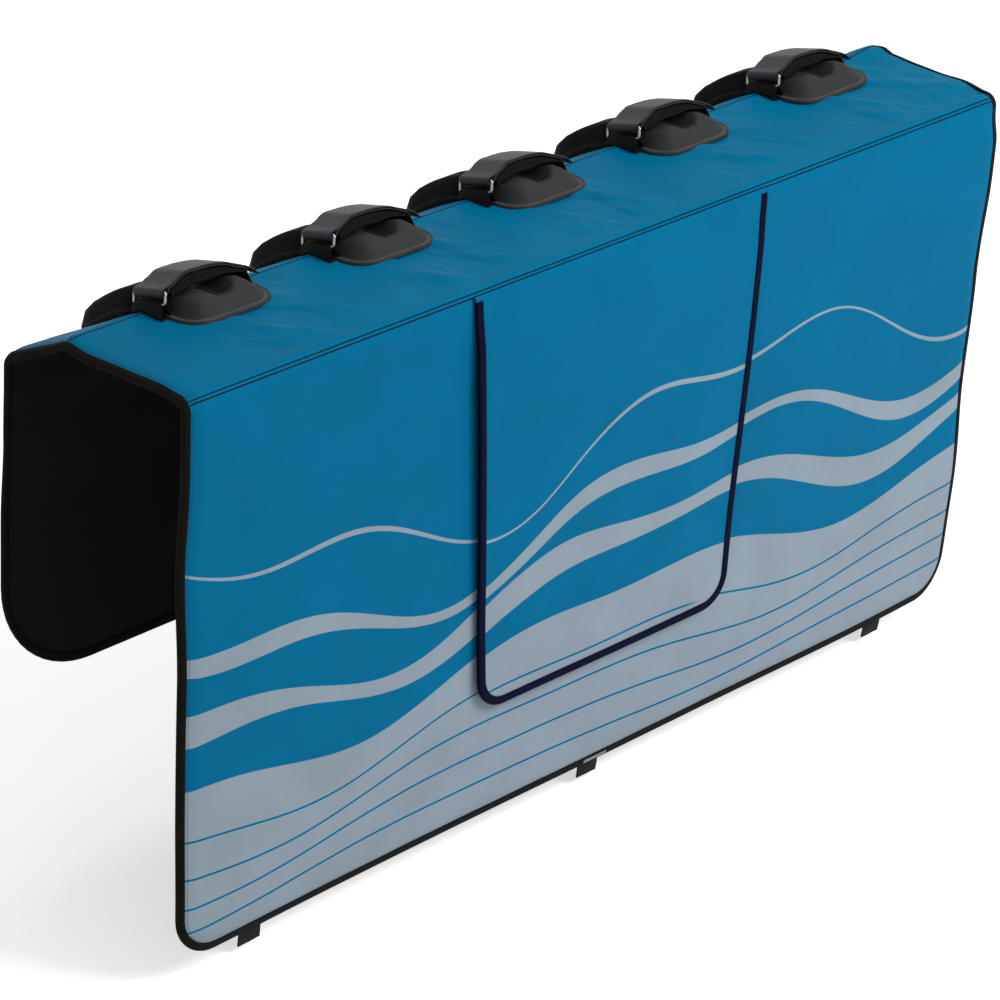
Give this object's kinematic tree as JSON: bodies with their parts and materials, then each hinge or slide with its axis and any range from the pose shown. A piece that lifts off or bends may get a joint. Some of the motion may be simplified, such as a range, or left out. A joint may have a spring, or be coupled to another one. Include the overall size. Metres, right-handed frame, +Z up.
{
  "type": "tailgate bike pad",
  "caption": "Padded cover that hangs over a pickup tailgate, with moulded cradles and straps for bicycle frames and a flap over the gate handle.",
  "frame": {"origin": "middle of the flat underside of the top, where the pad rests on the edge of the tailgate", "axes": "+X along the pad, +Y towards the cab, -Y outwards, +Z up"},
  "size_m": [1.37, 0.3225, 0.7592],
  "materials": {
    "shell_fabric": "coated woven polyester, satin",
    "foam": "closed-cell foam",
    "lining_fabric": "soft brushed fabric",
    "edge_tape": "folded woven tape",
    "flap_tape": "folded woven tape",
    "hook_and_loop": "hook-and-loop pile",
    "moulded_pad": "moulded, matt",
    "sleeve_fabric": "quilted pile fabric",
    "webbing": "woven webbing, satin",
    "ring_steel": "plated steel wire"
  },
  "bodies": {
    "root": {"front_shell": "shell_fabric", "top_shell": "shell_fabric", "rear_shell": "shell_fabric", "access_flap": "shell_fabric", "front_foam": "foam", "top_foam": "foam", "rear_foam": "foam", "lining": "lining_fabric", "edge_binding": "edge_tape", "window_binding": "edge_tape", "flap_binding": "flap_tape", "panel_loop_strip": "hook_and_loop", "flap_hook_strip": "hook_and_loop", "hem_tab_1": "webbing", "hem_tab_2": "webbing", "hem_tab_3": "webbing", "cradle_base_1": "moulded_pad", "cradle_base_2": "moulded_pad", "cradle_base_3": "moulded_pad", "cradle_base_4": "moulded_pad", "cradle_base_5": "moulded_pad", "padded_sleeve_1": "sleeve_fabric", "padded_sleeve_2": "sleeve_fabric", "padded_sleeve_3": "sleeve_fabric", "padded_sleeve_4": "sleeve_fabric", "padded_sleeve_5": "sleeve_fabric", "cradle_strap_1": "webbing", "cradle_strap_2": "webbing", "cradle_strap_3": "webbing", "cradle_strap_4": "webbing", "cradle_strap_5": "webbing", "ring_loop_1": "webbing", "ring_loop_2": "webbing", "ring_loop_3": "webbing", "ring_loop_4": "webbing", "ring_loop_5": "webbing", "strap_ring_1": "ring_steel", "strap_ring_2": "ring_steel", "strap_ring_3": "ring_steel", "strap_ring_4": "ring_steel", "strap_ring_5": "ring_steel"}
  },
  "joints": []
}
